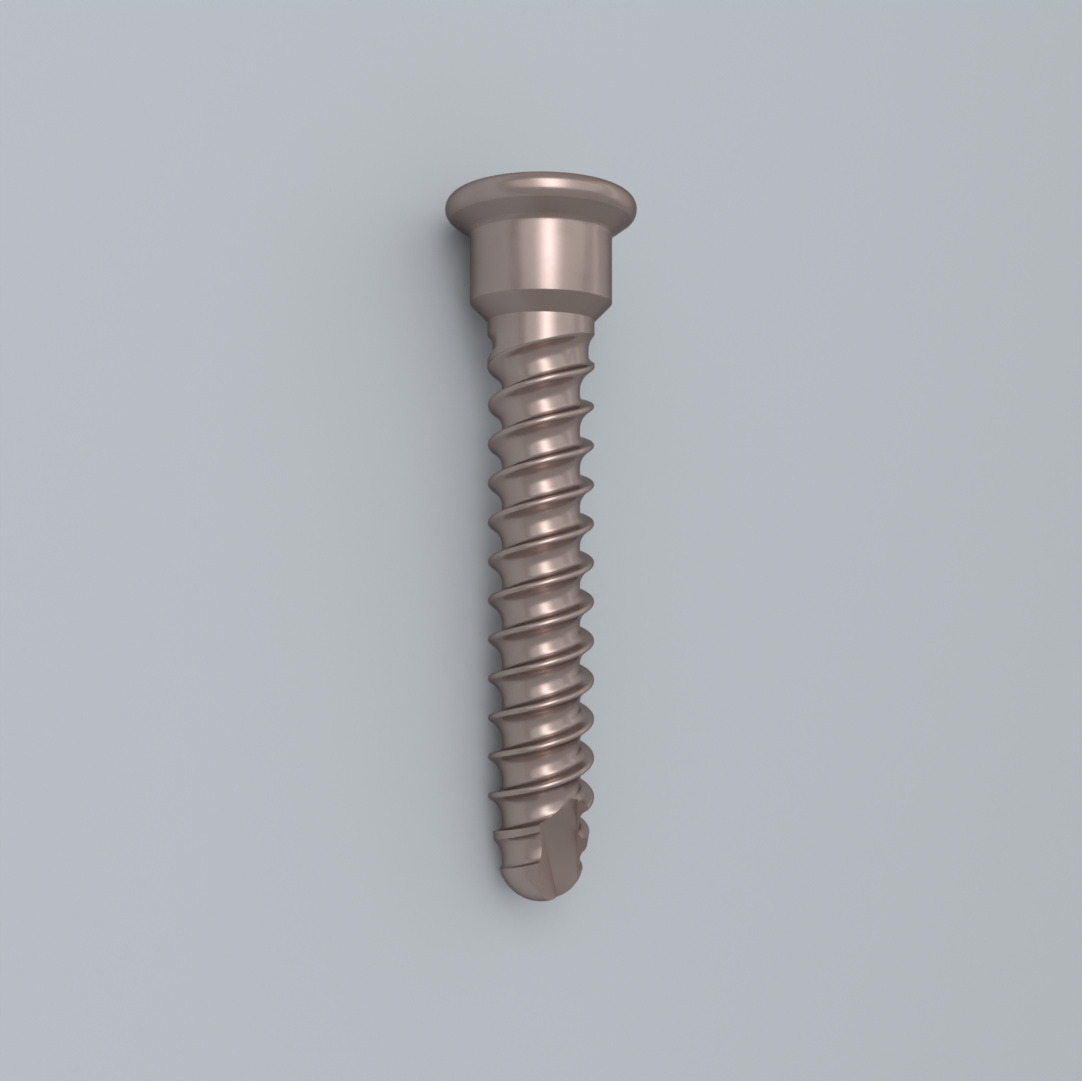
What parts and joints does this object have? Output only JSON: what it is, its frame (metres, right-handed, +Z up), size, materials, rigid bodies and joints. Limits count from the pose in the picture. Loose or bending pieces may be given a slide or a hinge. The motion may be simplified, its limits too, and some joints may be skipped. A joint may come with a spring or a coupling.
{
  "type": "bone compression screw",
  "caption": "Metal bone screw: coarse rounded bone thread with a fluted self-tapping tip, a plain collar, and a thin wide head with a hexagon socket.",
  "frame": {"origin": "centre of the underside of the bounding box, on the table under the screw", "axes": "+Y runs along the screw from the tip to the head, +Z is up; the screw lies on the rim of its head and on its thread near the tip"},
  "size_m": [0.008, 0.0298, 0.0081],
  "materials": {
    "titanium": "satin turned titanium"
  },
  "bodies": {
    "root": {"bone_screw": "titanium"}
  },
  "joints": []
}
